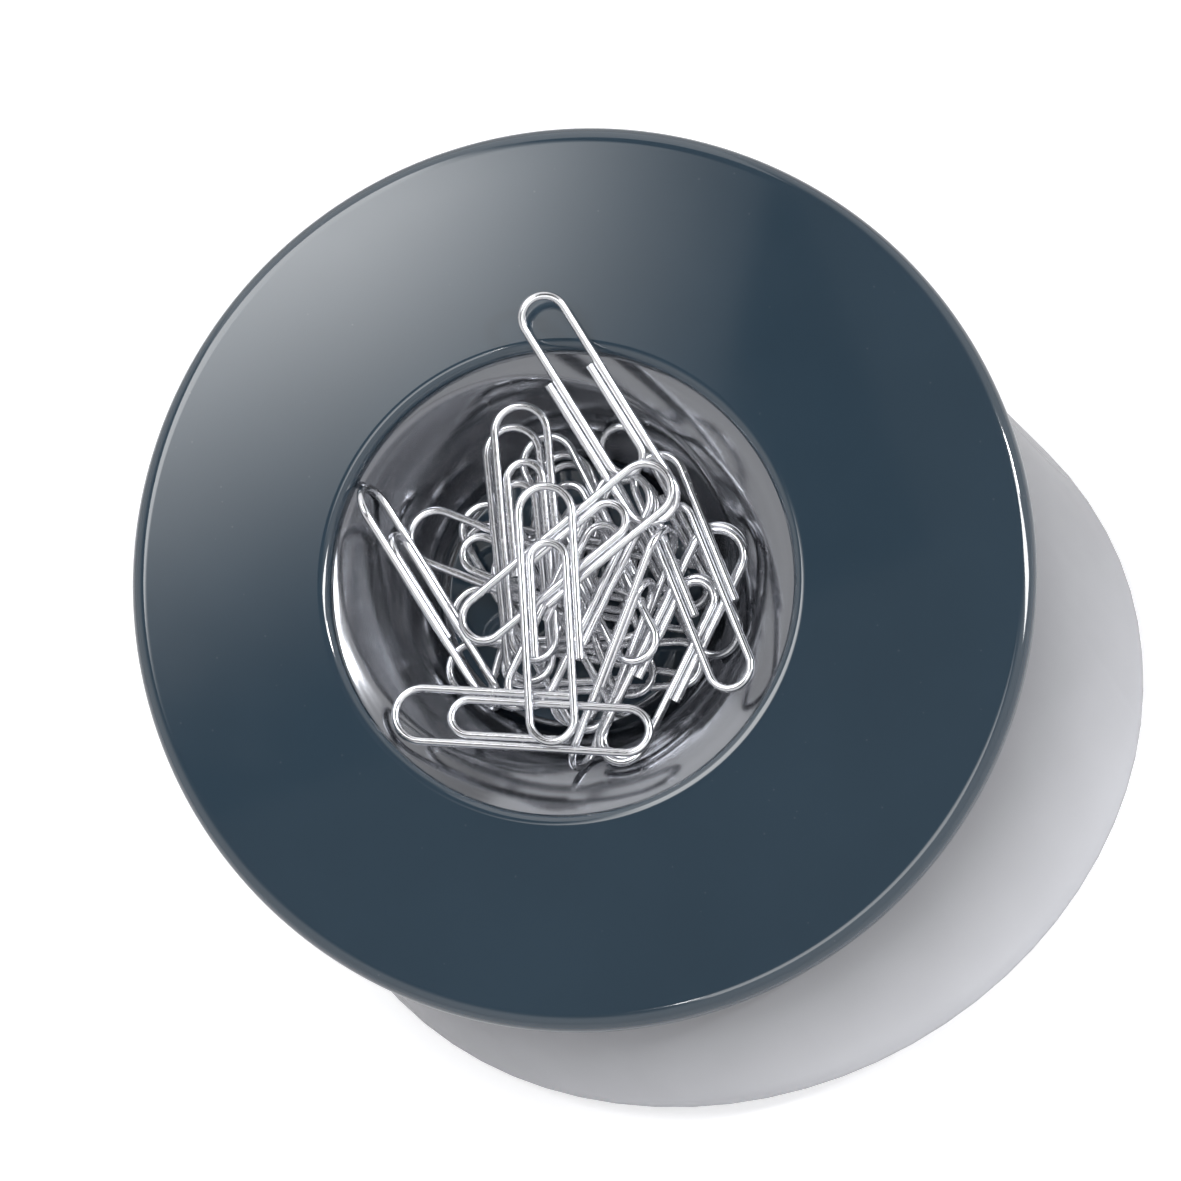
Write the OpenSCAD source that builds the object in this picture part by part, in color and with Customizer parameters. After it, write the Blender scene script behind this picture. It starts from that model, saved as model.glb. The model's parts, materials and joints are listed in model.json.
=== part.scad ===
// Magnetic paper clip holder: an overhanging disc, tilted towards the user, on a smooth body.
// A steel bowl sits in an off-centre hole of the disc and a magnet under it holds the clips.
// +Z is up, -Y is the low front edge, and the origin is the centre of the foot on the table.

/* [Disc] */
// Radius of the disc
disc_r = 48; // [46:0.5:50]
// Thickness of the disc
disc_thick = 2.8; // [2.6:0.1:3.2]
// Radius that rounds the disc's upper edge
disc_edge_r = 1.9; // [1.5:0.1:2]
// Radius that rounds the disc's lower edge
disc_under_r = 0.7; // [0.4:0.1:0.8]
// Tilt of the disc towards the front, in degrees
disc_tilt = 26; // [22:1:28]
// Height of the disc's centre above the table
disc_height = 38.7; // [38:0.1:42]
// How far the disc sits to the left of the foot's centre
disc_shift = 6.9; // [5:0.1:8]

/* [Bowl] */
// Radius of the bowl's mouth
mouth_r = 24.55; // [24.2:0.05:25]
// How far the bowl sits to the left of the disc's centre
bowl_shift = 2.05; // [1:0.05:2.5]
// Depth of the bowl, from the disc's underside to its steel floor
bowl_depth = 11.5; // [11.2:0.1:12]
// Radius of the curve that leads from the bowl's cone into its floor
foot_curve_r = 1; // [0.8:0.1:1.6]
// Thickness of the bowl's steel
bowl_sheet = 0.8; // [0.6:0.1:1]
// Width of the flange under the disc
flange_w = 3; // [2:0.1:3.2]
// Radius that rounds the disc's edge round the mouth
shoulder_r = 1.3; // [1:0.1:1.5]
// Radius of the bowl's flat floor, which the inlay covers
floor_r = 13.9; // [13.6:0.05:14]
// Thickness of the inlay
inlay_thick = 0.7; // [0.5:0.1:0.8]

/* [Body] */
// Radius of the foot at its widest
foot_r = 47.6; // [46.5:0.1:49]
// Radius that rounds the foot's rim
rim_r = 3; // [2.4:0.1:3.4]
// Width of the disc's overhang past the body
overhang = 4; // [3:0.1:5]
// Wall thickness of the body
wall = 2.4; // [2:0.1:2.8]
// Depth of the inner flange below the disc
seat_depth = 4.4; // [4:0.1:5]
// Thickness of the inner flange
seat_thick = 2.2; // [1.8:0.1:2.6]
// Distance of the disc's screws from its centre
top_screw_reach = 36.3; // [36:0.1:36.6]
// How far the rubber pad holds the body off the table
foot_proud = 0.6; // [0.4:0.1:0.8]

/* [Magnet] */
// Radius of the magnet
magnet_r = 10; // [9:0.1:11]
// Thickness of the magnet
magnet_thick = 4; // [3:0.1:4.5]
// Thickness of the steel plate under the magnet
plate_thick = 1.2; // [0.8:0.1:1.5]
// Wall thickness of the moulded carrier
carrier_wall = 1.8; // [1.5:0.1:2]
// Distance of the carrier's screws from the bowl's axis
carrier_reach = 31.4; // [31:0.1:31.6]

/* [Base] */
// Thickness of the base plate
base_thick = 3.2; // [3:0.1:3.6]
// Radius of the steel weight
ballast_r = 30; // [26:0.5:32]
// Thickness of the steel weight
ballast_thick = 6; // [4:0.5:7]
// Distance of the weight's screws from its centre
ballast_screw_reach = 20; // [16:0.5:22]
// Distance of the base plate's screws from its centre
base_screw_reach = 39.4; // [39:0.1:39.8]
// Radius of the rubber pad
pad_r = 34; // [32:0.5:35]
// Thickness of the rubber pad
pad_thick = 1.4; // [1.2:0.1:1.6]

/* [Screws] */
// Radius of a screw's shank
shank_r = 1.2; // [1:0.05:1.3]
// Radius of a screw's head
screw_head_r = 2.3; // [2:0.05:2.4]
// Height of a screw's head
screw_head_h = 1.2; // [1:0.05:1.4]
// Length of thread that holds in a boss
thread_grip = 3.6; // [3:0.1:3.8]
// Outer radius of a boss
boss_r = 2.8; // [2.5:0.05:2.9]

/* [Clips] */
// Overall length of a clip
clip_len = 28; // [26:0.5:28]
// Overall width of a clip
clip_w = 6.6; // [6:0.1:7]
// Diameter of a clip's wire
wire_d = 0.9; // [0.7:0.05:0.9]
// Distance from a clip's outer bend to its inner bend
inner_drop = 6; // [5:0.5:8]
// Distance from a clip's lower bend to the free end of its outer leg
outer_end = 9; // [7:0.5:12]
// Distance from a clip's lower bend to the free end of its inner leg
inner_end = 9.5; // [7:0.5:12]

/* [Hidden] */
// Gap between neighbouring legs of one clip
leg_gap = 0.06;
// Gap between clips that lie on each other
lay_gap = 0.04;
// Radial clearance where one piece drops into another
fit_gap = 0.15;
// Clearance round a screw's shank in the piece it clamps
shank_gap = 0.2;
// Clearance between a screw's head and the wall of its recess
head_gap = 0.4;
// Overrun of a cut past the face it opens
over = 1;

// Distance between the middles of two wires that lie on each other
wire_pitch = wire_d + lay_gap;
// Height of the rim's middle circle above the table
rim_z = foot_proud + rim_r;
// Radius of the rim's middle circle
rim_centre_r = foot_r - rim_r;
// Radius of the body's upper edge, in the disc's plane
body_top_r = disc_r - overhang;
// Radius of the opening in the body's upper edge
body_top_inner_r = body_top_r - wall;
// Radius of the body's lower opening, which takes the base plate
base_opening_r = foot_r - wall - rim_r / 2;
// Radius of the inner flange's opening
seat_inner_r = top_screw_reach - boss_r - fit_gap;
// Depth of the bowl's flange, its steel floor and the inlay's top below the disc's face
flange_top = -disc_thick;
steel_floor = flange_top - bowl_depth;
floor_top = steel_floor + inlay_thick;
// Slope of the bowl's cone, which runs from the mouth to the foot curve
foot_run = mouth_r - floor_r;
foot_rise = bowl_depth - foot_curve_r;
cone_slope = atan2(foot_rise, foot_run) + asin(foot_curve_r / norm([foot_run, foot_rise]));
// Depths of the magnet's, the plate's and the carrier's lower faces
magnet_top = steel_floor - bowl_sheet;
magnet_low = magnet_top - magnet_thick;
plate_low = magnet_low - plate_thick;
carrier_low = plate_low - carrier_wall;
// Depth of the lower face of the carrier's arms
arm_low = magnet_top - carrier_wall;
// Depth at which the carrier's arms meet the disc's bosses
boss_low = flange_top - bowl_sheet - seat_depth;
// Height of the base plate's upper face
base_top = foot_proud + base_thick;
// Angles of the screws round their centres
top_screw_angles = [45, 135, 225, 315];
carrier_angles = [90, 200, 340];
ballast_angles = [90, 210, 330];
base_screw_angles = [55, 125, 200, 340];

// Places of the clips, chosen by hand. Each row holds the place across and up the slope in shares
// of the mouth's radius, the height above the inlay in wire pitches, and the clip's heading, its
// rise along that heading and its roll about it, in degrees. These lie under others.
heap_shares = [
    // Flat on the floor
    [-0.11, 0.08, 0.5, 55, 0, 0],
    [0.115, -0.08, 0.5, 55, 0, 0],
    [-0.04, -0.16, 1.5, 150, 0, 0],
    [0.10, 0.09, 1.5, 150, 0, 0],
    // Across the front, and up the right wall
    [-0.10, -0.30, 2.5, 162, 0, 0],
    [0.47, 0.05, 4.6, 278, 1, 22],
    // At the left, under the loop that points to the upper left
    [-0.17, -0.05, 3.8, 100, 1, -1],
    [0.14, 0.03, 3.5, 90, -0.5, 1],
    [-0.14, 0.13, 5.4, 138, 3.5, 0],
    // On edge, pointing to the lower left
    [0.14, -0.34, 8.1, 48, 6.5, 73],
    // Beside it on the right, over one another
    [0.35, -0.39, 6.8, 44, 2, -6],
    [0.34, -0.41, 7.9, 43, 2, -6],
    [0.55, -0.14, 9.7, 92, -9, -14],
    // A pair side by side at the back
    [-0.13, 0.21, 7, 75, 6, 0],
    [-0.07, 0.28, 8.3, 74, 6, 0],
    // Under the middle
    [0.05, -0.04, 8.8, 44, 0, 0],
    // Between the back pair and the right wall
    [0.16, 0.13, 6.9, 97, -8, -7]
];
// The clips that show whole, on top of the heap
loose_shares = [
    // Lying along the front wall
    [-0.37, -0.49, 11.4, 156, 0, 5],
    // Lying across the back of the mouth
    [0.40, 0.64, 13.7, 281, -16, 0],
    // Across the middle
    [0.06, 0.11, 11.6, 18, 6, 0],
    // Upright in the middle, over the others
    [-0.09, -0.11, 13, 73, 0, 0],
    // Leaning on the left of the mouth, on edge
    [-0.565, 0.165, 9.2, 101, 14, 70]
];

HEAP_COUNT = len(heap_shares);
LOOSE_COUNT = len(loose_shares);
HOLDER_NODES = [
    "top_ring", "bowl", "floor_inlay", "base_shell", "magnet", "magnet_plate", "magnet_carrier",
    "carrier_screws", "top_screws", "base_plate", "base_screws", "ballast", "ballast_screws",
    "foot_pad"
];

$fn = 96;

// Places things in the disc's own frame: its face at zero, +Y up the slope
module on_disc() {
    translate([-disc_shift, 0, disc_height]) rotate([disc_tilt, 0, 0]) children();
}

// Places things on the bowl's axis, at a depth below the disc's face
module on_bowl(depth = 0) {
    on_disc() translate([-bowl_shift, 0, depth]) children();
}

// Repeats things at a distance round a centre
module round_centre(reach, angles) {
    for (a = angles) rotate([0, 0, a]) translate([reach, 0, 0]) children();
}

// A pan-head screw with its head's lower face at zero and its thread pointing up
module screw(grip) {
    difference() {
        union() {
            cylinder(r = shank_r, h = screw_head_h + grip);
            cylinder(r = screw_head_r, h = screw_head_h);
        }
        for (a = [0, 90]) rotate([0, 0, a])
            cube([screw_head_r, shank_r / 2, screw_head_h], center = true);
    }
}

// Half outline of the disc, from the mouth's edge to the rounded outer edge
module disc_outline() {
    edge_x = disc_r - disc_edge_r;
    under_x = disc_r - disc_under_r;
    translate([edge_x, -disc_edge_r]) intersection() {
        circle(r = disc_edge_r);
        square(disc_edge_r);
    }
    translate([0, -disc_edge_r]) square([edge_x, disc_edge_r]);
    translate([0, disc_under_r - disc_thick])
        square([disc_r, disc_thick - disc_edge_r - disc_under_r]);
    translate([0, -disc_thick]) square([under_x, disc_under_r]);
    translate([under_x, disc_under_r - disc_thick]) intersection() {
        circle(r = disc_under_r);
        translate([0, -disc_under_r]) square(disc_under_r);
    }
}

// What the rounded shoulder round the mouth takes away
module shoulder_cut() {
    rotate_extrude() difference() {
        translate([0, -shoulder_r]) square([mouth_r + shoulder_r, shoulder_r + over]);
        translate([mouth_r + shoulder_r, -shoulder_r]) circle(r = shoulder_r);
    }
}

module top_ring() {
    color("#3b4856") {
        difference() {
            union() {
                on_disc() rotate_extrude() disc_outline();
                on_disc() translate([0, 0, -disc_thick - seat_depth])
                    round_centre(top_screw_reach, top_screw_angles)
                    cylinder(r = boss_r, h = seat_depth + disc_thick / 2);
                on_bowl(boss_low) round_centre(carrier_reach, carrier_angles)
                    cylinder(r = boss_r, h = -boss_low - disc_thick / 2);
            }
            on_bowl(-disc_thick - over) cylinder(r = mouth_r, h = disc_thick + 2 * over);
            on_bowl() shoulder_cut();
            on_disc() translate([0, 0, -disc_thick - seat_depth - over])
                round_centre(top_screw_reach, top_screw_angles)
                cylinder(r = shank_r, h = over + thread_grip);
            on_bowl(boss_low - over) round_centre(carrier_reach, carrier_angles)
                cylinder(r = shank_r, h = over + thread_grip);
        }
    }
}

// Half outline of the bowl between its inner and outer faces: flange, cone, foot curve and floor
module bowl_outline() {
    outer_r = foot_curve_r + bowl_sheet;
    across = [sin(cone_slope), -cos(cone_slope)];
    foot = [floor_r, foot_curve_r - bowl_depth];
    translate(foot) intersection() {
        difference() {
            circle(r = outer_r);
            circle(r = foot_curve_r);
        }
        polygon([[0, 0], 2 * outer_r * across, [outer_r, -2 * outer_r], [0, -2 * outer_r]]);
    }
    polygon([
        foot + foot_curve_r * across,
        foot + outer_r * across,
        [mouth_r + (bowl_sheet - bowl_sheet * cos(cone_slope)) / sin(cone_slope), -bowl_sheet],
        [mouth_r + flange_w, -bowl_sheet],
        [mouth_r + flange_w, 0],
        [mouth_r, 0]
    ]);
    translate([0, -bowl_depth - bowl_sheet]) square([floor_r, bowl_sheet]);
}

module bowl() {
    color("#c9ccd2") on_bowl(flange_top) rotate_extrude() bowl_outline();
}

module floor_inlay() {
    color("#46586a") on_bowl(steel_floor) cylinder(r = floor_r - fit_gap, h = inlay_thick);
}

// The body's outer form, from the rounded rim of the foot to the edge under the disc
module body_form() {
    hull() {
        translate([0, 0, rim_z]) rotate_extrude($fn = 72)
            translate([rim_centre_r, 0]) circle(r = rim_r, $fn = 24);
        on_disc() translate([0, 0, -disc_thick - over])
            cylinder(r = body_top_r, h = over, $fn = 72);
    }
}

// The hollow inside the body
module body_hollow() {
    hull() {
        translate([0, 0, base_top]) cylinder(r = base_opening_r, h = over, $fn = 72);
        on_disc() translate([0, 0, -disc_thick]) cylinder(r = body_top_inner_r, h = over, $fn = 72);
    }
}

// The flange inside the body that the disc's bosses stand on
module seat_flange() {
    intersection() {
        body_form();
        on_disc() translate([0, 0, -disc_thick - seat_depth - seat_thick])
            cylinder(r = body_top_r, h = seat_thick);
    }
}

// Posts inside the body that take the base plate's screws, each with a web to the wall behind it
module base_posts() {
    post_h = thread_grip + wall;
    post_r = base_opening_r + wall - base_screw_reach;
    translate([0, 0, base_top]) round_centre(base_screw_reach, base_screw_angles) {
        cylinder(r = post_r / 2 + shank_r, h = post_h);
        translate([0, -shank_r, 0]) cube([post_r - wall / 2, 2 * shank_r, post_h]);
    }
}

// Room in the body for the carrier's arms and for the disc's bosses that hold them
module arm_clearance() {
    room_r = boss_r + head_gap;
    room_h = seat_thick + seat_depth + 2 * over;
    round_centre(carrier_reach, carrier_angles) {
        cylinder(r = room_r, h = room_h);
        translate([-carrier_reach, -room_r, 0]) cube([carrier_reach, 2 * room_r, room_h]);
    }
}

module base_shell() {
    color("#c6c8cf") difference() {
        union() {
            difference() {
                body_form();
                body_hollow();
                translate([0, 0, -over]) cylinder(r = base_opening_r, h = base_top + over);
            }
            seat_flange();
            base_posts();
        }
        on_disc() translate([0, 0, -disc_thick - seat_depth - seat_thick - over])
            cylinder(r = seat_inner_r, h = seat_thick + seat_depth + 2 * over);
        on_bowl(-disc_thick - seat_depth - seat_thick - over) arm_clearance();
        on_disc() translate([0, 0, -disc_thick - seat_depth - seat_thick - over])
            round_centre(top_screw_reach, top_screw_angles)
            cylinder(r = shank_r + shank_gap, h = seat_thick + 2 * over);
        translate([0, 0, base_top - over]) round_centre(base_screw_reach, base_screw_angles)
            cylinder(r = shank_r, h = over + thread_grip);
    }
}

module magnet() {
    color("#3a3a3d") on_bowl(magnet_low) cylinder(r = magnet_r, h = magnet_thick);
}

module magnet_plate() {
    color("#8d9096") on_bowl(plate_low) cylinder(r = magnet_r, h = plate_thick);
}

module magnet_carrier() {
    pocket_r = magnet_r + fit_gap;
    color("#2e3238") difference() {
        union() {
            on_bowl(carrier_low) cylinder(r = pocket_r + carrier_wall, h = magnet_top - carrier_low);
            on_bowl(arm_low) for (a = carrier_angles) rotate([0, 0, a])
                translate([0, -boss_r, 0]) cube([carrier_reach, 2 * boss_r, carrier_wall]);
            on_bowl(arm_low) round_centre(carrier_reach, carrier_angles)
                cylinder(r = boss_r, h = boss_low - arm_low);
        }
        on_bowl(plate_low) cylinder(r = pocket_r, h = magnet_top - plate_low + over);
        on_bowl(arm_low - over) round_centre(carrier_reach, carrier_angles)
            cylinder(r = shank_r + shank_gap, h = boss_low - arm_low + 2 * over);
    }
}

module carrier_screws() {
    color("#9a9da3") on_bowl(arm_low - screw_head_h)
        round_centre(carrier_reach, carrier_angles)
        screw(boss_low - arm_low + thread_grip);
}

module top_screws() {
    color("#9a9da3") on_disc()
        translate([0, 0, -disc_thick - seat_depth - seat_thick - screw_head_h])
        round_centre(top_screw_reach, top_screw_angles) screw(seat_thick + thread_grip);
}

module base_plate() {
    color("#2e3238") difference() {
        translate([0, 0, foot_proud]) cylinder(r = base_opening_r - fit_gap, h = base_thick);
        round_centre(base_screw_reach, base_screw_angles) {
            cylinder(r = shank_r + shank_gap, h = base_top + over);
            cylinder(r = screw_head_r + head_gap, h = foot_proud + screw_head_h);
        }
        round_centre(ballast_screw_reach, ballast_angles) {
            cylinder(r = shank_r + shank_gap, h = base_top + over);
            cylinder(r = screw_head_r + head_gap, h = pad_thick + screw_head_h);
        }
        cylinder(r = pad_r + fit_gap, h = pad_thick);
    }
}

module base_screws() {
    color("#9a9da3") translate([0, 0, foot_proud])
        round_centre(base_screw_reach, base_screw_angles)
        screw(base_thick - screw_head_h + thread_grip);
}

module ballast() {
    color("#6f7276") translate([0, 0, base_top]) difference() {
        cylinder(r = ballast_r, h = ballast_thick);
        translate([0, 0, -over]) round_centre(ballast_screw_reach, ballast_angles)
            cylinder(r = shank_r, h = over + thread_grip);
    }
}

module ballast_screws() {
    color("#9a9da3") translate([0, 0, pad_thick])
        round_centre(ballast_screw_reach, ballast_angles)
        screw(base_top - pad_thick - screw_head_h + thread_grip);
}

module foot_pad() {
    color("#202224") cylinder(r = pad_r, h = pad_thick);
}

// A straight leg of wire along Y
module clip_leg(x, from_y, to_y) {
    translate([x, from_y, 0]) rotate([-90, 0, 0]) cylinder(d = wire_d, h = to_y - from_y, $fn = 24);
}

// A half turn of wire that opens towards -Y, or towards +Y when it is turned
module clip_bend(x, y, r, turned = false) {
    translate([x, y, 0]) rotate([0, 0, turned ? 180 : 0])
        rotate_extrude(angle = 180, $fn = 48) translate([r, 0]) circle(d = wire_d, $fn = 24);
}

// One wire clip lying flat, centred, with its single outer bend towards +Y
module paper_clip() {
    leg_step = wire_d + leg_gap;
    outer_r = (clip_w - wire_d) / 2;
    lower_r = outer_r - leg_step / 2;
    inner_r = lower_r - leg_step / 2;
    low_y = -clip_len / 2;
    outer_y = clip_len / 2 - wire_d / 2 - outer_r;
    lower_y = low_y + wire_d / 2 + lower_r;
    inner_y = clip_len / 2 - wire_d / 2 - inner_drop - inner_r;
    right_x = 2 * lower_r - outer_r;
    clip_leg(outer_r, low_y + outer_end, outer_y);
    clip_bend(0, outer_y, outer_r);
    clip_leg(-outer_r, lower_y, outer_y);
    clip_bend(lower_r - outer_r, lower_y, lower_r, turned = true);
    clip_leg(right_x, lower_y, inner_y);
    clip_bend(right_x - inner_r, inner_y, inner_r);
    clip_leg(right_x - 2 * inner_r, low_y + inner_end, inner_y);
}

// A clip at its row's place in the bowl
module placed_clip(row) {
    color("#d4d6da") on_bowl(floor_top)
        translate([row[0] * mouth_r, row[1] * mouth_r, row[2] * wire_pitch])
        rotate([0, 0, row[3] - 90]) rotate([row[4], 0, 0]) rotate([0, row[5], 0]) paper_clip();
}

top_ring();
bowl();
floor_inlay();
base_shell();
magnet();
magnet_plate();
magnet_carrier();
carrier_screws();
top_screws();
base_plate();
base_screws();
ballast();
ballast_screws();
foot_pad();
for (i = [1:HEAP_COUNT])
    placed_clip(heap_shares[i - 1]);
for (i = [1:LOOSE_COUNT])
    placed_clip(loose_shares[i - 1]);
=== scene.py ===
import json
import math

import bmesh
import bpy
from bpy.props import FloatProperty, FloatVectorProperty, IntProperty, PointerProperty
from mathutils import Matrix, Vector


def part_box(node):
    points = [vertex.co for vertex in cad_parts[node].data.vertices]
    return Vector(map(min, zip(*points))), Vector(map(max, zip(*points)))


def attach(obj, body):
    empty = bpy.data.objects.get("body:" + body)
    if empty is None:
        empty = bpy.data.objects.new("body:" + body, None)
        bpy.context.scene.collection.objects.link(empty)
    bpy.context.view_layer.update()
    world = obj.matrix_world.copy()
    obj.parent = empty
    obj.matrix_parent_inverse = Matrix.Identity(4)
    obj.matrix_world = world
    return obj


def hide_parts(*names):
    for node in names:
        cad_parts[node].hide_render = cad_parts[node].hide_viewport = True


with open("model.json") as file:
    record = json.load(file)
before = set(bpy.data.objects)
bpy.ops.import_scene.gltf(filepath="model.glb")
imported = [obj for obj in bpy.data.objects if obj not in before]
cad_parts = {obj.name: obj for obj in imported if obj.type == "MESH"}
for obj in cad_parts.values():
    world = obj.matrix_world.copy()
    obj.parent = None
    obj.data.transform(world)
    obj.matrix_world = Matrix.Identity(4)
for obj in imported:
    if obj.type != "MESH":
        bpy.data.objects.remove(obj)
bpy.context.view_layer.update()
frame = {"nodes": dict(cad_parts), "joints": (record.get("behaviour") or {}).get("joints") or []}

bl_info = {
    "name": "Magnetic Paper Clip Holder",
    "version": (1, 0, 0),
    "blender": (4, 5, 0),
    "location": "View3D > Sidebar > Clip Holder",
    "description": "Tilted glossy disc with a steel bowl of paper clips, on a smooth moulded body",
    "category": "Object",
}

MM = 0.001

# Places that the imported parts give
DISC_LOW, DISC_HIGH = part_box("top_ring")
DISC_AXIS = Vector(frame["joints"][0]["axis"]).normalized()
DISC_TILT = math.atan2(-DISC_AXIS.y, DISC_AXIS.z)
DISC_RADIUS = (DISC_HIGH.x - DISC_LOW.x) / 2
DISC_X = (DISC_HIGH.x + DISC_LOW.x) / 2

# Where the screws stand round the disc's centre and round the bowl's axis, in degrees
DISC_SCREW_ANGLES = (45, 135, 225, 315)
CARRIER_ANGLES = (90, 200, 340)
POST_SEGMENTS = 48

# Edges whose ends lie within this share of a circle's radius count as on the circle
CIRCLE_SHARE = 0.001
# Corners closer than this are one
MERGE_DISTANCE = 0.001 * MM
NODE_MERGE_DISTANCE = 0.0005 * MM
# Edges sharper than this stay sharp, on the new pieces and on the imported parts
PIECE_SHARP = math.radians(35)
NODE_SHARP = math.radians(30)

# The part of a noise's range that is used, because its ends are rarely reached
NOISE_ENDS = (0.3, 0.7)
DUST = "#B4B8BC"
DISC_FINISH = "gloss_moulded_abs_blue_grey"


def linear(code):
    """A linear colour with alpha from an sRGB hex code such as #30404D."""
    parts = [int(code[i:i + 2], 16) / 255 for i in (1, 3, 5)]
    return [p / 12.92 if p <= 0.04045 else ((p + 0.055) / 1.055) ** 2.4 for p in parts] + [1.0]


def length(name, description, default):
    """A length property in metres."""
    return FloatProperty(name=name, description=description, default=default, unit="LENGTH", precision=5)


def colour(name, description, code):
    """A colour property from an sRGB hex code."""
    return FloatVectorProperty(
        name=name, description=description, default=linear(code), size=4, min=0, max=1, subtype="COLOR"
    )


class HolderSizes(bpy.types.PropertyGroup):
    """Sizes of the disc and the bowl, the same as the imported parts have."""

    disc_radius: length("Disc radius", "Radius of the tilted disc", DISC_RADIUS)
    disc_height: length("Disc height", "Height of the disc's centre above the table", 38.7 * MM)
    disc_thickness: length("Disc thickness", "Thickness of the disc", 2.8 * MM)
    disc_rounding: length("Disc edge", "Rounding of the disc's upper edge", 1.9 * MM)
    disc_under: length("Disc lower edge", "Rounding of the disc's lower edge", 0.7 * MM)
    shoulder: length("Mouth edge", "Rounding of the disc's edge round the mouth", 1.3 * MM)
    mouth_radius: length("Mouth radius", "Radius of the bowl's mouth", 24.55 * MM)
    bowl_shift: length("Bowl shift", "Distance of the bowl's axis to the left of the disc's", 2.05 * MM)
    bowl_depth: length("Bowl depth", "From the disc's underside to the steel floor", 11.5 * MM)
    foot_curve: length("Foot curve", "Radius of the curve between the bowl's cone and its floor", 1.0 * MM)
    bowl_sheet: length("Bowl sheet", "Thickness of the bowl's steel", 0.8 * MM)
    flange_width: length("Flange width", "Width of the bowl's flange under the disc", 3 * MM)
    floor_radius: length("Floor radius", "Radius of the bowl's flat floor", 13.9 * MM)
    inlay_thickness: length("Inlay thickness", "Thickness of the plastic inlay on the floor", 0.7 * MM)
    inlay_gap: length("Inlay gap", "Gap between the inlay and the bowl's wall", 0.15 * MM)
    seat_depth: length("Seat depth", "Depth of the inner flange below the disc", 4.4 * MM)
    screw_reach: length("Disc screw reach", "Distance of the disc's bosses from its centre", 36.3 * MM)
    carrier_reach: length("Carrier reach", "Distance of the carrier's bosses from the bowl's axis", 31.4 * MM)
    boss_radius: length("Boss radius", "Radius of a screw boss", 2.8 * MM)
    segments: IntProperty(name="Segments", description="Segments round a full turn", default=256)


class HolderColours(bpy.types.PropertyGroup):
    """Colours of the holder's finishes."""

    disc: colour("Disc", "Blue-grey plastic of the disc and the inlay", "#30404D")
    body: colour("Body", "Pale grey plastic of the body", "#C9CACF")
    steel: colour("Steel", "Polished steel of the bowl", "#94969B")
    wire: colour("Wire", "Bright wire of the clips", "#E9EAEE")
    inner: colour("Inner plastic", "Dark plastic of the base plate and the carrier", "#2B2E33")
    rubber: colour("Rubber", "Rubber of the foot pad", "#1E2022")
    ferrite: colour("Ferrite", "Sintered magnet", "#35353A")
    zinc: colour("Zinc", "Plated steel of the weight, the plate and the screws", "#9DA1A6")
    floor: colour("Floor", "Pale floor that the holder stands on", "#E6E6E8")


def sizes():
    """The holder's sizes, as the scene keeps them."""
    return bpy.context.scene.clip_holder_sizes


def colours():
    """The holder's colours, as the scene keeps them."""
    return bpy.context.scene.clip_holder_colours


def disc_frame():
    """From the disc's own frame, its face at zero and +Y up the slope, to the row frame."""
    return Matrix.Translation((DISC_X, 0, sizes().disc_height)) @ Matrix.Rotation(DISC_TILT, 4, "X")


def bowl_frame():
    """From the bowl's own frame, on its axis at the disc's face, to the row frame."""
    return disc_frame() @ Matrix.Translation((-sizes().bowl_shift, 0, 0))


def feed(tree, node, inputs):
    """Links a node's inputs to sockets, or sets them to values."""
    for socket, value in inputs.items():
        if isinstance(value, bpy.types.NodeSocket):
            tree.links.new(value, node.inputs[socket])
        else:
            node.inputs[socket].default_value = value


def add(tree, kind, inputs=None, **settings):
    """Adds a node with its settings, and feeds its inputs."""
    node = tree.nodes.new(kind)
    for key, value in settings.items():
        setattr(node, key, value)
    feed(tree, node, inputs or {})
    return node


def compute(tree, operation, *values):
    """The result of a calculation."""
    return add(tree, "ShaderNodeMath", dict(enumerate(values)), operation=operation).outputs["Value"]


def remap(tree, value, source, target, **settings):
    """A value taken from one range to another and held at its ends."""
    node = add(tree, "ShaderNodeMapRange", {
        "Value": value, "From Min": source[0], "From Max": source[1], "To Min": target[0], "To Max": target[1],
    }, **settings)
    return node.outputs["Result"]


def noise(tree, place, size, detail, roughness=0.5):
    """Soft noise from 0 to 1, with patches of a size in metres."""
    node = add(tree, "ShaderNodeTexNoise", {
        "Vector": place, "Scale": 1 / size, "Detail": detail, "Roughness": roughness,
    })
    return node.outputs["Fac"]


def tones(tree, share, low, high, ends=NOISE_ENDS):
    """A colour between two, by a share."""
    node = add(tree, "ShaderNodeValToRGB", {"Fac": share})
    for element, end, value in zip(node.color_ramp.elements, ends, (low, high)):
        element.position, element.color = end, value
    return node.outputs["Color"]


def bump(tree, height, distance, over=None):
    """The normal of a bump, on top of another normal if one is given."""
    inputs = {"Height": height, "Strength": 1.0, "Distance": distance}
    if over is not None:
        inputs["Normal"] = over
    return add(tree, "ShaderNodeBump", inputs).outputs["Normal"]


def object_place(tree):
    """A point's place in its object, in metres."""
    return add(tree, "ShaderNodeTexCoord").outputs["Object"]


def around(tree, axis_frame):
    """A point's place across a frame's axis, its distance from the axis and its height along it."""
    turn = axis_frame.inverted()
    centred = add(tree, "ShaderNodeMapping", {
        "Vector": object_place(tree), "Location": turn.to_translation(), "Rotation": turn.to_euler("XYZ"),
    })
    split = add(tree, "ShaderNodeSeparateXYZ", {"Vector": centred.outputs["Vector"]})
    flat = add(tree, "ShaderNodeCombineXYZ", {"X": split.outputs["X"], "Y": split.outputs["Y"]})
    return flat.outputs["Vector"], vector_length(tree, flat.outputs["Vector"]), split.outputs["Z"]


def vector_length(tree, vector):
    """How long a vector is."""
    return add(tree, "ShaderNodeVectorMath", {0: vector}, operation="LENGTH").outputs["Value"]


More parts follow.
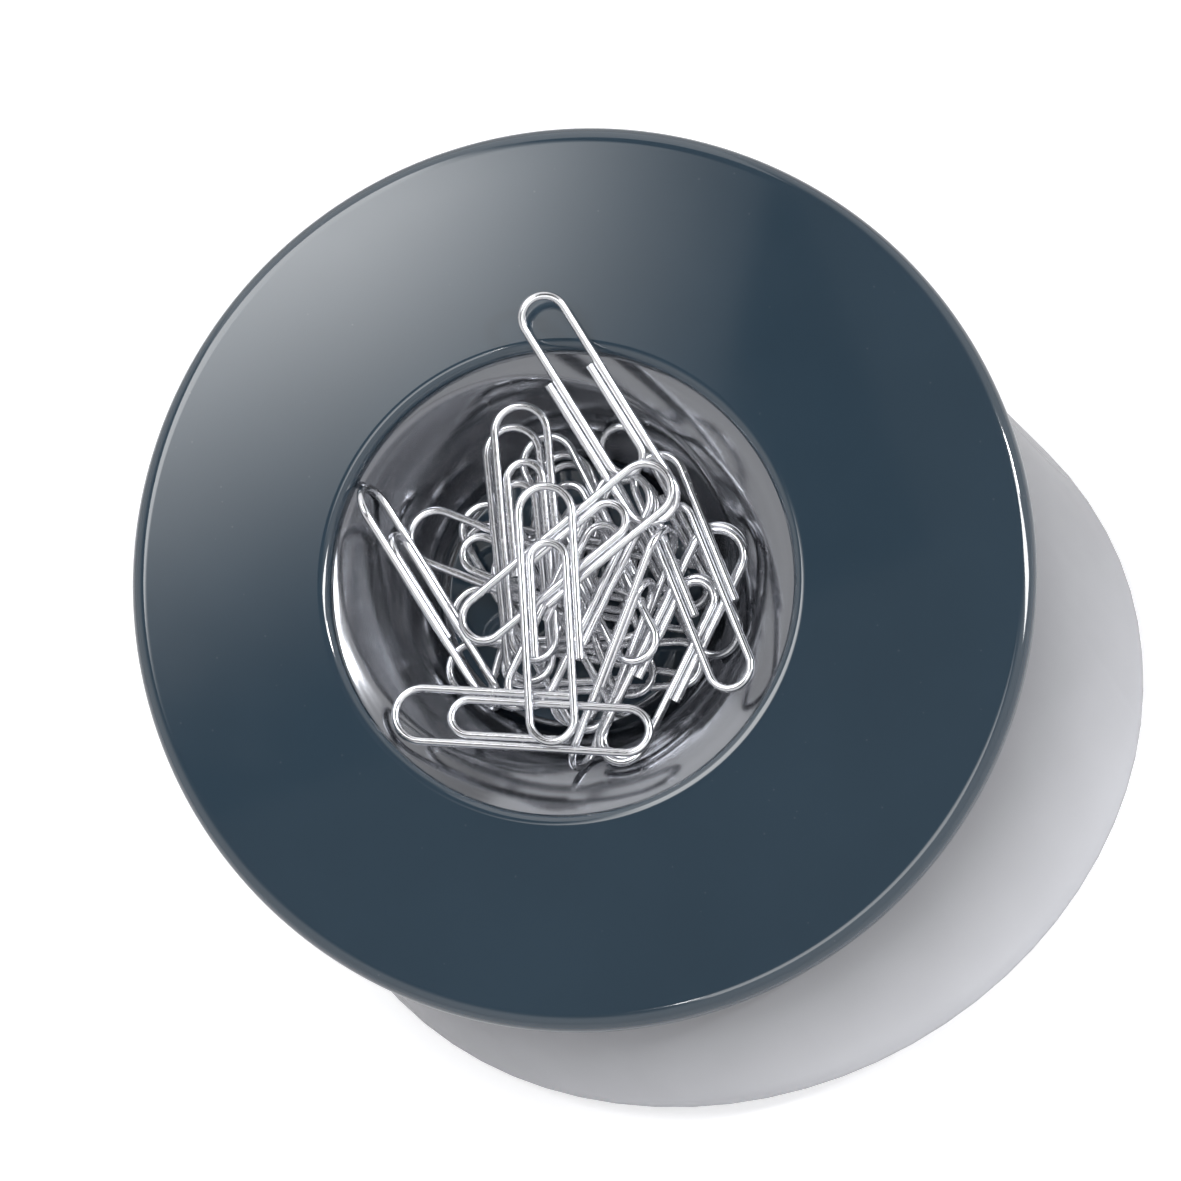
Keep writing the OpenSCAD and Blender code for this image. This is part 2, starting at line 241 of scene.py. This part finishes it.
def cleared(block):
    """The emptied node tree of a material or a world."""
    block.use_nodes = True
    block.node_tree.nodes.clear()
    return block.node_tree


def new_material(name):
    """An empty node material with its shader linked to the output."""
    material = bpy.data.materials.new(name)
    tree = cleared(material)
    shader = add(tree, "ShaderNodeBsdfPrincipled")
    add(tree, "ShaderNodeOutputMaterial", {"Surface": shader.outputs["BSDF"]})
    return material, tree, shader


def shade(value, share):
    """A colour made lighter or darker by a share."""
    return [channel * share for channel in value[:3]] + [1.0]


def gloss_plastic(name, tint, centre, lustre):
    """Injection-moulded ABS from a polished mould, as glossy as lacquer.

    The eye gets sharp reflections that waver a little where the plastic has sunk over the mould's
    ribs, faint cleaning smears that dull them, and hair scratches that catch the light.
    """
    material, tree, shader = new_material(name)
    mapping = add(tree, "ShaderNodeMapping", {"Vector": object_place(tree), "Location": centre})
    spot = mapping.outputs["Vector"]
    # Colour drifts over some 20 mm, as the pigment flows in the mould
    tone = tones(tree, noise(tree, spot, 20 * MM, 3.0), shade(tint, 0.95), shade(tint, 1.05))
    # Dust specks of some 0.2 mm, paler than the plastic
    dust = add(tree, "ShaderNodeTexVoronoi", {"Vector": spot, "Scale": 1 / (2.4 * MM)})
    speck = remap(tree, dust.outputs["Distance"], (0.06, 0.03), (0.0, 0.05))
    dusty = add(tree, "ShaderNodeMix", {"Factor": speck, 6: tone, 7: linear(DUST)}, data_type="RGBA")
    # Smears some 14 mm across from wiping, and scratches 0.15 mm wide and 12 mm long
    smear = remap(tree, noise(tree, spot, 14 * MM, 6.0), (0.35, 0.75), lustre)
    turned = add(tree, "ShaderNodeMapping", {
        "Vector": spot, "Rotation": (0.0, 0.0, 0.7), "Scale": (1 / (12 * MM), 1 / (0.15 * MM), 1 / (2 * MM)),
    })
    scratch = remap(tree, noise(tree, turned.outputs["Vector"], 1.0, 2.0), (0.68, 0.78), (0.0, 0.06))
    # Sink marks: waves 16 mm long
    waver = bump(tree, noise(tree, spot, 16 * MM, 1.0), 0.012 * MM)
    feed(tree, shader, {
        "Base Color": dusty.outputs[2], "Roughness": compute(tree, "ADD", smear, scratch), "Normal": waver,
        "IOR": 1.5,
    })
    return material, tree, shader


def disc_material():
    """The same plastic under a clear hard coat, which makes its reflections about twice as strong."""
    material, tree, shader = gloss_plastic(DISC_FINISH, colours().disc, (0.0, 0.0, 0.0), (0.05, 0.13))
    feed(tree, shader, {"Coat Weight": 1.0, "Coat Roughness": 0.04})
    return material


def body_material():
    """The pale plastic of the body, with painted shade beside the disc, under its overhang, and painted light
    further out.
    """
    material, tree, shader = gloss_plastic(
        "gloss_moulded_abs_pale_grey", colours().body, (0.03, 0.02, 0.0), (0.12, 0.22),
    )
    unshaded = shader.inputs["Base Color"].links[0].from_socket
    reach = around(tree, disc_frame())[1]
    # Painted shade and light: darkest at the disc's edge, lightest from 15 mm outside it
    painted_shading = remap(tree, reach, (48 * MM, 63 * MM), (0.56, 1.18))
    toned = add(tree, "ShaderNodeVectorMath", {0: unshaded, "Scale": painted_shading}, operation="SCALE")
    feed(tree, shader, {"Base Color": toned.outputs["Vector"]})
    return material


def bowl_material():
    """Stainless steel, spun to a cone and polished on a wheel.

    The eye gets mirror reflections that fine polishing rings blur a little, rings round the bowl's
    axis that the tool left where the cone turns into the floor, and a pale band inside the mouth.
    """
    material, tree, shader = new_material("spun_polished_stainless_steel")
    flat, reach, height = around(tree, bowl_frame())
    profile = add(tree, "ShaderNodeCombineXYZ", {"X": reach, "Z": height}).outputs["Vector"]
    # Polishing rings some 0.35 mm apart
    rings = noise(tree, profile, 0.35 * MM, 3.0, 0.6)
    tone = tones(tree, noise(tree, profile, 2.2 * MM, 1.0), shade(colours().steel, 0.9), list(colours().steel))
    rough = remap(tree, rings, NOISE_ENDS, (0.12, 0.19))
    # The lip flares a little outward, most at the right and the front, so it mirrors the pale sweep
    aside = add(tree, "ShaderNodeVectorMath", {0: flat, 1: (-2.6 * MM, 2.8 * MM, 0.0)}, operation="SUBTRACT")
    beyond = compute(tree, "SUBTRACT", vector_length(tree, aside.outputs["Vector"]), 20.8 * MM)
    lip = compute(tree, "SMOOTH_MAX", beyond, 0.0, 0.8 * MM)
    flare = bump(tree, compute(tree, "MULTIPLY", lip, -0.40), 1.0)
    # Tool rings 0.6 mm apart, which fade out up the cone between 15 and 18 mm from the axis
    low = remap(tree, reach, (18 * MM, 15 * MM), (0.0, 1.0))
    wave = compute(tree, "SINE", compute(tree, "MULTIPLY", reach, math.tau / (0.6 * MM)))
    tooled = bump(tree, compute(tree, "MULTIPLY", wave, low), 0.003 * MM, flare)
    feed(tree, shader, {
        "Base Color": tone, "Roughness": rough, "Normal": bump(tree, rings, 0.001 * MM, tooled), "Metallic": 1.0,
    })
    return material


def metal(name, tint, grain, rough, mark, depth, metallic=1.0):
    """A bare or plated metal, or a sintered magnet, whose grain is drawn, ground or tumbled."""
    material, tree, shader = new_material(name)
    place = object_place(tree)
    tone = tones(tree, noise(tree, place, mark, 4.0), shade(tint, 0.86), list(tint))
    fine = noise(tree, place, grain, 3.0)
    feed(tree, shader, {
        "Base Color": tone, "Roughness": remap(tree, fine, NOISE_ENDS, rough),
        "Normal": bump(tree, fine, depth), "Metallic": metallic,
    })
    return material


def wire_material():
    """Drawn steel wire with bright nickel plating: hard highlights along each leg, a little uneven."""
    return metal("nickel_plated_drawn_wire", colours().wire, 0.5 * MM, (0.16, 0.28), 3 * MM, 0.004 * MM)


def zinc_material():
    """Zinc-plated steel, tumbled in a drum: a soft grey sheen with cloudy patches."""
    return metal("tumbled_zinc_plate", colours().zinc, 0.3 * MM, (0.28, 0.42), 4 * MM, 0.006 * MM)


def ferrite_material():
    """Sintered ferrite, ground flat: near black, dull, with fine pits."""
    return metal(
        "ground_sintered_ferrite", colours().ferrite, 0.25 * MM, (0.5, 0.7), 3 * MM, 0.03 * MM, metallic=0.0,
    )


def matt_moulding(name, tint, grain, rough, depth):
    """A plastic or rubber moulding with a spark-eroded grain that scatters the light."""
    material, tree, shader = new_material(name)
    place = object_place(tree)
    patch = noise(tree, place, 9 * MM, 4.0)
    cells = add(tree, "ShaderNodeTexVoronoi", {"Vector": place, "Scale": 1 / grain})
    feed(tree, shader, {
        "Base Color": tones(tree, patch, shade(tint, 0.85), shade(tint, 1.15)),
        "Roughness": remap(tree, patch, NOISE_ENDS, rough),
        "Normal": bump(tree, cells.outputs["Distance"], depth),
    })
    return material


def inner_material():
    """Spark-grained polypropylene: dark and matt, with a grain of 0.6 mm."""
    return matt_moulding("grained_dark_polypropylene", colours().inner, 0.6 * MM, (0.45, 0.6), 0.03 * MM)


def rubber_material():
    """Compression-moulded rubber: almost black, dull, dusty in patches."""
    return matt_moulding("moulded_rubber", colours().rubber, 0.4 * MM, (0.7, 0.9), 0.02 * MM)


def piece(name, mesh_builder, material, replaced):
    """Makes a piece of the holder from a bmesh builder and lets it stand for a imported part."""
    bm = bmesh.new()
    mesh_builder(bm)
    bmesh.ops.remove_doubles(bm, verts=bm.verts, dist=MERGE_DISTANCE)
    bmesh.ops.recalc_face_normals(bm, faces=bm.faces)
    mesh = bpy.data.meshes.new(name)
    bm.to_mesh(mesh)
    bm.free()
    mesh.shade_smooth()
    mesh.set_sharp_from_angle(angle=PIECE_SHARP)
    mesh.materials.append(material)
    obj = bpy.data.objects.new(name, mesh)
    bpy.context.collection.objects.link(obj)
    obj.modifiers.new("weighted_normals", "WEIGHTED_NORMAL").keep_sharp = True
    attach(obj, "holder")
    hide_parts(replaced)


def build_disc(bm):
    """A flat ring between the disc's edge and the mouth, thickened, with rounded edges and bosses below."""
    s = sizes()
    mouth = Matrix.Translation((-s.bowl_shift, 0, 0))
    bmesh.ops.create_circle(bm, radius=s.disc_radius, segments=s.segments)
    bmesh.ops.create_circle(bm, radius=s.mouth_radius, segments=s.segments, matrix=mouth)
    ring = bmesh.ops.bridge_loops(bm, edges=bm.edges[:])["faces"]
    grown = bmesh.ops.extrude_face_region(bm, geom=ring, use_keep_orig=True)["geom"]
    low = [item for item in grown if isinstance(item, bmesh.types.BMVert)]
    bmesh.ops.translate(bm, verts=low, vec=(0, 0, -s.disc_thickness))
    outer, under, lip = [], [], []
    for edge in bm.edges:
        ends = [v.co for v in edge.verts]
        reach = min(co.to_2d().length for co in ends)
        from_mouth = max((co.to_2d() + Vector((s.bowl_shift, 0))).length for co in ends)
        high = min(co.z for co in ends) > -s.disc_thickness / 2
        deep = max(co.z for co in ends) < -s.disc_thickness / 2
        at_edge = reach > s.disc_radius * (1 - CIRCLE_SHARE)
        if at_edge and high:
            outer.append(edge)
        elif at_edge and deep:
            under.append(edge)
        elif from_mouth < s.mouth_radius * (1 + CIRCLE_SHARE) and high:
            lip.append(edge)
    roundings = ((outer, s.disc_rounding, 10), (under, s.disc_under, 4), (lip, s.shoulder, 8))
    for edges, rounding, steps in roundings:
        bmesh.ops.bevel(
            bm, geom=edges, offset=rounding, offset_type="OFFSET", segments=steps, profile=0.5,
            affect="EDGES", material=-1,
        )
    boss_foot, boss_top = -s.disc_thickness - s.seat_depth, -s.disc_thickness / 2
    for angle in DISC_SCREW_ANGLES:
        add_post(bm, s.screw_reach, angle, boss_foot, boss_top, Matrix())
    for angle in CARRIER_ANGLES:
        add_post(bm, s.carrier_reach, angle, boss_foot - s.bowl_sheet, boss_top, mouth)
    bmesh.ops.transform(bm, matrix=disc_frame(), verts=bm.verts)


def add_post(bm, reach, angle, low, high, centre):
    """A screw boss at a distance and an angle from a centre, between two heights."""
    radius = sizes().boss_radius
    turn = Matrix.Rotation(math.radians(angle), 4, "Z")
    place = centre @ turn @ Matrix.Translation((reach, 0, (low + high) / 2))
    bmesh.ops.create_cone(
        bm, cap_ends=True, segments=POST_SEGMENTS, radius1=radius, radius2=radius, depth=high - low,
        matrix=place,
    )


def spun(bm, outline):
    """Turns an outline of (radius, height) points a full turn round Z."""
    verts = [bm.verts.new((radius, 0, height)) for radius, height in outline]
    edges = [bm.edges.new(pair) for pair in zip(verts, verts[1:])]
    bmesh.ops.spin(
        bm, geom=verts + edges, cent=(0, 0, 0), axis=(0, 0, 1), angle=math.tau, steps=sizes().segments,
        use_merge=True,
    )
    bmesh.ops.remove_doubles(bm, verts=bm.verts, dist=MERGE_DISTANCE)


def arc(centre, radius, start, end, steps):
    """Points of an arc, from one angle to another in degrees."""
    angles = [math.radians(start + (end - start) * i / steps) for i in range(steps + 1)]
    return [(centre[0] + radius * math.cos(a), centre[1] + radius * math.sin(a)) for a in angles]


def build_bowl(bm):
    """The inner outline from the flange down the cone to the floor, spun and thickened outwards."""
    s = sizes()
    rim, floor = -s.disc_thickness, -s.disc_thickness - s.bowl_depth
    run, rise = s.mouth_radius - s.floor_radius, s.bowl_depth - s.foot_curve
    slope = math.degrees(math.atan2(rise, run) + math.asin(s.foot_curve / math.hypot(run, rise)))
    outline = [(s.mouth_radius + s.flange_width, rim), (s.mouth_radius, rim)]
    outline += arc((s.floor_radius, floor + s.foot_curve), s.foot_curve, slope - 90, -90, steps=8)
    outline += [(s.floor_radius / 2, floor), (0, floor)]
    spun(bm, outline)
    bmesh.ops.recalc_face_normals(bm, faces=bm.faces)
    lowest = min(bm.faces, key=lambda face: face.calc_center_median().z)
    if lowest.normal.z < 0:
        bmesh.ops.reverse_faces(bm, faces=bm.faces)
    bmesh.ops.solidify(bm, geom=bm.faces[:], thickness=s.bowl_sheet)
    bmesh.ops.transform(bm, matrix=bowl_frame(), verts=bm.verts)


def build_inlay(bm):
    """A thin plate on the bowl's floor with a softened edge."""
    s = sizes()
    low = -s.disc_thickness - s.bowl_depth
    high = low + s.inlay_thickness
    radius = s.floor_radius - s.inlay_gap
    soft = s.inlay_thickness / 3
    rounded = arc((radius - soft, high - soft), soft, 90, 0, steps=4)
    outline = [(0, high), *rounded, (radius, low), (0, low)]
    spun(bm, outline)
    bmesh.ops.transform(bm, matrix=bowl_frame(), verts=bm.verts)


class HOLDER_OT_disc(bpy.types.Operator):
    """Model the glossy disc with its rounded edges and the bosses under it"""

    bl_idname = "clip_holder.disc"
    bl_label = "Disc"

    def execute(self, context):
        piece("disc", build_disc, disc_material(), "top_ring")
        return {"FINISHED"}


class HOLDER_OT_bowl(bpy.types.Operator):
    """Model the spun steel bowl and the plastic inlay on its floor"""

    bl_idname = "clip_holder.bowl"
    bl_label = "Bowl and inlay"

    def execute(self, context):
        piece("bowl_liner", build_bowl, bowl_material(), "bowl")
        piece("bowl_floor", build_inlay, bpy.data.materials[DISC_FINISH], "floor_inlay")
        return {"FINISHED"}


class HOLDER_OT_body(bpy.types.Operator):
    """Finish the moulded body that carries the disc"""

    bl_idname = "clip_holder.body"
    bl_label = "Body"

    def execute(self, context):
        finish_node("base_shell", body_material())
        return {"FINISHED"}


def finish_node(name, material):
    """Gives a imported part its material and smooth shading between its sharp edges."""
    node = frame["nodes"][name]
    for slot in node.material_slots:
        slot.link = "OBJECT"
        slot.material = material
    for polygon in node.data.polygons:
        polygon.use_smooth = True
    node.modifiers.new("weld", "WELD").merge_threshold = NODE_MERGE_DISTANCE
    node.modifiers.new("split", "EDGE_SPLIT").split_angle = NODE_SHARP
    node.modifiers.new("weighted_normals", "WEIGHTED_NORMAL").keep_sharp = True


class HOLDER_OT_fittings(bpy.types.Operator):
    """Finish the magnet, the carrier, the base plate, the weight, the screws and the pad"""

    bl_idname = "clip_holder.fittings"
    bl_label = "Inner fittings and foot"

    def execute(self, context):
        zinc, inner = zinc_material(), inner_material()
        for name in ("magnet_plate", "carrier_screws", "top_screws", "base_screws", "ballast",
                     "ballast_screws"):
            finish_node(name, zinc)
        for name in ("magnet_carrier", "base_plate"):
            finish_node(name, inner)
        finish_node("magnet", ferrite_material())
        finish_node("foot_pad", rubber_material())
        return {"FINISHED"}


class HOLDER_OT_clips(bpy.types.Operator):
    """Finish the wire clips in the bowl"""

    bl_idname = "clip_holder.clips"
    bl_label = "Clips"

    def execute(self, context):
        wire = wire_material()
        for name in frame["nodes"]:
            if "_clip_" in name:
                finish_node(name, wire)
        return {"FINISHED"}


# The camera, fitted to the photograph: its view of the disc, in degrees, metres and image shares
CAMERA_AZIMUTH = 7.0
CAMERA_ELEVATION = 55.407
CAMERA_ROLL = -26.656
CAMERA_DISTANCE = 0.5
CAMERA_AIM_ACROSS = 0.621 * MM
CAMERA_AIM_DOWN = 2.144 * MM
SENSOR_WIDTH = 36.0
IMAGE_PIXELS = 1181
FOCAL_PIXELS = 4762.5

# The cards that the disc and the bowl mirror: sizes and places in metres, strengths, and the ranges
# of a card's own X and Y over which its strength changes
CARD_HEIGHT = 0.6
SOFTBOX_SIZE = (0.40, 0.50)
SOFTBOX_PLACE = (-0.17, 0.05, CARD_HEIGHT)
SOFTBOX_GLOW = 4.9
SOFTBOX_FRONT = (-0.245, -0.13)
SOFTBOX_FALL = 2.3
SOFTBOX_RIGHT = (0.20, 0.09)
SOFTBOX_LEAST = 0.08
SOFTBOX_SLANT = 0.64
SOFTBOX_EDGE = (0.297, 0.291)
REFLECTOR_SIZE = (0.40, 0.41)
REFLECTOR_PLACE = (0.105, -0.515, CARD_HEIGHT)
REFLECTOR_GLOW = 2.9
REFLECTOR_RISE = (0.205, 0.015)

# Name, size, place and strength
HIGHLIGHT_CARDS = (
    ("edge_strip", (0.13, 0.38), (0.566, -0.289, 0.365), 13.0),
    ("back_reflector", (1.1, 0.75), (0.0, 0.62, 0.66), 1.1),
)

# Name, place, size and watts, and the point that they look at
LAMPS = (
    ("right_lamp", (0.53, -0.144, 0.395), (0.07, 0.07), 1.2),
    ("front_spot", (-0.081, -0.412, 0.6), (0.012, 0.03), 0.05),
)
LAMP_AIM = Vector((0, 0, 0.03))

# The floor's size and grain in metres, and the light that it adds for the camera
FLOOR_SIZE = (6, 6)
FLOOR_GRAIN = 0.025
FLOOR_GLOW = 0.5

# The world's strength over the height of a direction, from the ceiling down to the sweep
SWEEP_ENDS = (0.82, 0.5)
SWEEP_GLOW = (0.1, 0.95)


def view_axes():
    """The camera's backward, right and up directions in the row frame."""
    azimuth, elevation, roll = map(math.radians, (CAMERA_AZIMUTH, CAMERA_ELEVATION, CAMERA_ROLL))
    back = Vector((
        math.sin(azimuth) * math.cos(elevation), -math.cos(azimuth) * math.cos(elevation), math.sin(elevation),
    ))
    level = Vector((math.cos(azimuth), math.sin(azimuth), 0))
    upright = level.cross(-back)
    right = math.cos(roll) * level + math.sin(roll) * upright
    up = math.cos(roll) * upright - math.sin(roll) * level
    return back, right, up


def make_camera():
    """The photograph's camera."""
    back, right, up = view_axes()
    aim = disc_frame() @ Vector((CAMERA_AIM_ACROSS, -CAMERA_AIM_DOWN, 0))
    data = bpy.data.cameras.new("camera")
    data.sensor_width = SENSOR_WIDTH
    data.lens = FOCAL_PIXELS / IMAGE_PIXELS * SENSOR_WIDTH
    camera = bpy.data.objects.new("camera", data)
    bpy.context.collection.objects.link(camera)
    turn = Matrix((right, up, back)).transposed().to_4x4()
    camera.matrix_world = Matrix.Translation(aim + CAMERA_DISTANCE * back) @ turn
    bpy.context.scene.camera = camera


def flat_piece(name, size, place):
    """A rectangle of the stage, facing along its own -Z."""
    bm = bmesh.new()
    bmesh.ops.create_grid(bm, x_segments=1, y_segments=1, size=0.5)
    bmesh.ops.scale(bm, vec=(*size, 1), verts=bm.verts)
    mesh = bpy.data.meshes.new(name)
    bm.to_mesh(mesh)
    bm.free()
    obj = bpy.data.objects.new(name, mesh)
    obj.matrix_world = place
    bpy.context.collection.objects.link(obj)
    return obj


def make_floor():
    """A pale floor that keeps the holder's shadow and shows white to the camera."""
    floor = flat_piece("floor", FLOOR_SIZE, Matrix())
    material = bpy.data.materials.new("pale_studio_floor")
    tree = cleared(material)
    grain = noise(tree, object_place(tree), FLOOR_GRAIN, 4.0)
    tone = tones(tree, grain, shade(colours().floor, 0.99), list(colours().floor), (0.0, 1.0))
    paper = add(tree, "ShaderNodeBsdfDiffuse", {"Color": tone})
    path = add(tree, "ShaderNodeLightPath")
    glow = compute(tree, "MULTIPLY", path.outputs["Is Camera Ray"], FLOOR_GLOW)
    white = add(tree, "ShaderNodeEmission", {"Strength": glow})
    both = add(tree, "ShaderNodeAddShader", {0: paper.outputs["BSDF"], 1: white.outputs["Emission"]})
    add(tree, "ShaderNodeOutputMaterial", {"Surface": both.outputs["Shader"]})
    floor.data.materials.append(material)


def make_card(name, size, place, glow):
    """A glowing card that the camera doesn't see.

    The glow is a strength, or a function that gives it from the node tree and the card's X and Y.
    """
    card = flat_piece(name, size, place)
    card.visible_camera = False
    material = bpy.data.materials.new(name + "_cloth")
    tree = cleared(material)
    if callable(glow):
        split = add(tree, "ShaderNodeSeparateXYZ", {"Vector": object_place(tree)})
        glow = glow(tree, split.outputs["X"], split.outputs["Y"])
    light = add(tree, "ShaderNodeEmission", {"Strength": glow})
    add(tree, "ShaderNodeOutputMaterial", {"Surface": light.outputs["Emission"]})
    card.data.materials.append(material)
    return card


def softbox_glow(tree, x, y):
    """Hottest at the left, fading to the front and the right, with a sharp slanted edge at the right."""
    front = compute(tree, "POWER", remap(tree, y, SOFTBOX_FRONT, (0.0, 1.0)), SOFTBOX_FALL)
    right = remap(tree, x, SOFTBOX_RIGHT, (SOFTBOX_LEAST, 1.0), interpolation_type="SMOOTHSTEP")
    slant = compute(tree, "MULTIPLY_ADD", y, -SOFTBOX_SLANT, x)
    edge = remap(tree, slant, SOFTBOX_EDGE, (0.0, 1.0))
    fall = compute(tree, "MULTIPLY", front, right)
    return compute(tree, "MULTIPLY", compute(tree, "MULTIPLY", fall, edge), SOFTBOX_GLOW)


def reflector_glow(tree, x, y):
    """Brighter away from the holder."""
    return remap(tree, y, REFLECTOR_RISE, (0.0, REFLECTOR_GLOW), interpolation_type="SMOOTHSTEP")


def make_highlight_card(name, size, place, glow):
    """An even card that faces the holder and only shows in its glossy surfaces."""
    place = Vector(place)
    turn = place.to_track_quat("Z", "Y").to_matrix().to_4x4()
    card = make_card(name, size, Matrix.Translation(place) @ turn, glow)
    card.visible_diffuse = False


def make_lamp(name, place, size, watts):
    """A rectangular lamp that looks at the holder."""
    data = bpy.data.lights.new(name, "AREA")
    data.shape = "RECTANGLE"
    data.size, data.size_y = size
    data.energy = watts
    lamp = bpy.data.objects.new(name, data)
    lamp.location = place
    lamp.rotation_euler = (Vector(place) - LAMP_AIM).to_track_quat("Z", "Y").to_euler()
    bpy.context.collection.objects.link(lamp)


def make_world():
    """A dim room with a pale sweep low round the stage, white where the camera looks past the floor."""
    world = bpy.data.worlds.new("studio")
    bpy.context.scene.world = world
    tree = cleared(world)
    direction = add(tree, "ShaderNodeTexCoord").outputs["Generated"]
    split = add(tree, "ShaderNodeSeparateXYZ", {"Vector": direction})
    sweep = remap(tree, split.outputs["Z"], SWEEP_ENDS, SWEEP_GLOW, interpolation_type="SMOOTHSTEP")
    path = add(tree, "ShaderNodeLightPath")
    level = compute(tree, "MAXIMUM", sweep, path.outputs["Is Camera Ray"])
    room = add(tree, "ShaderNodeBackground", {"Strength": level})
    add(tree, "ShaderNodeOutputWorld", {"Surface": room.outputs["Background"]})


class HOLDER_OT_stage(bpy.types.Operator):
    """Set up the floor, the lights, the room and the camera"""

    bl_idname = "clip_holder.stage"
    bl_label = "Stage"

    def execute(self, context):
        make_camera()
        make_floor()
        make_card("softbox", SOFTBOX_SIZE, Matrix.Translation(SOFTBOX_PLACE), softbox_glow)
        make_world()
        make_card("front_reflector", REFLECTOR_SIZE, Matrix.Translation(REFLECTOR_PLACE), reflector_glow)
        for card in HIGHLIGHT_CARDS:
            make_highlight_card(*card)
        for lamp in LAMPS:
            make_lamp(*lamp)
        context.scene.view_settings.view_transform = "Standard"
        return {"FINISHED"}


class HOLDER_PT_panel(bpy.types.Panel):
    """Lists what builds the holder"""

    bl_idname = "HOLDER_PT_panel"
    bl_label = "Clip Holder"
    bl_space_type = "VIEW_3D"
    bl_region_type = "UI"
    bl_category = "Clip Holder"

    def draw(self, context):
        for operator in OPERATORS:
            self.layout.operator(operator.bl_idname)
        for group in (context.scene.clip_holder_sizes, context.scene.clip_holder_colours):
            box = self.layout.box()
            for name in group.bl_rna.properties.keys():
                if name not in ("rna_type", "name"):
                    box.prop(group, name)


OPERATORS = (
    HOLDER_OT_disc, HOLDER_OT_bowl, HOLDER_OT_body, HOLDER_OT_fittings, HOLDER_OT_clips, HOLDER_OT_stage,
)
CLASSES = (HolderSizes, HolderColours, *OPERATORS, HOLDER_PT_panel)


def register():
    for cls in CLASSES:
        bpy.utils.register_class(cls)
    bpy.types.Scene.clip_holder_sizes = PointerProperty(type=HolderSizes)
    bpy.types.Scene.clip_holder_colours = PointerProperty(type=HolderColours)


def unregister():
    del bpy.types.Scene.clip_holder_colours
    del bpy.types.Scene.clip_holder_sizes
    for cls in reversed(CLASSES):
        bpy.utils.unregister_class(cls)


def main():
    register()
    bpy.ops.clip_holder.disc()
    bpy.ops.clip_holder.bowl()
    bpy.ops.clip_holder.body()
    bpy.ops.clip_holder.fittings()
    bpy.ops.clip_holder.clips()
    bpy.ops.clip_holder.stage()


if __name__ == "__main__":
    main()
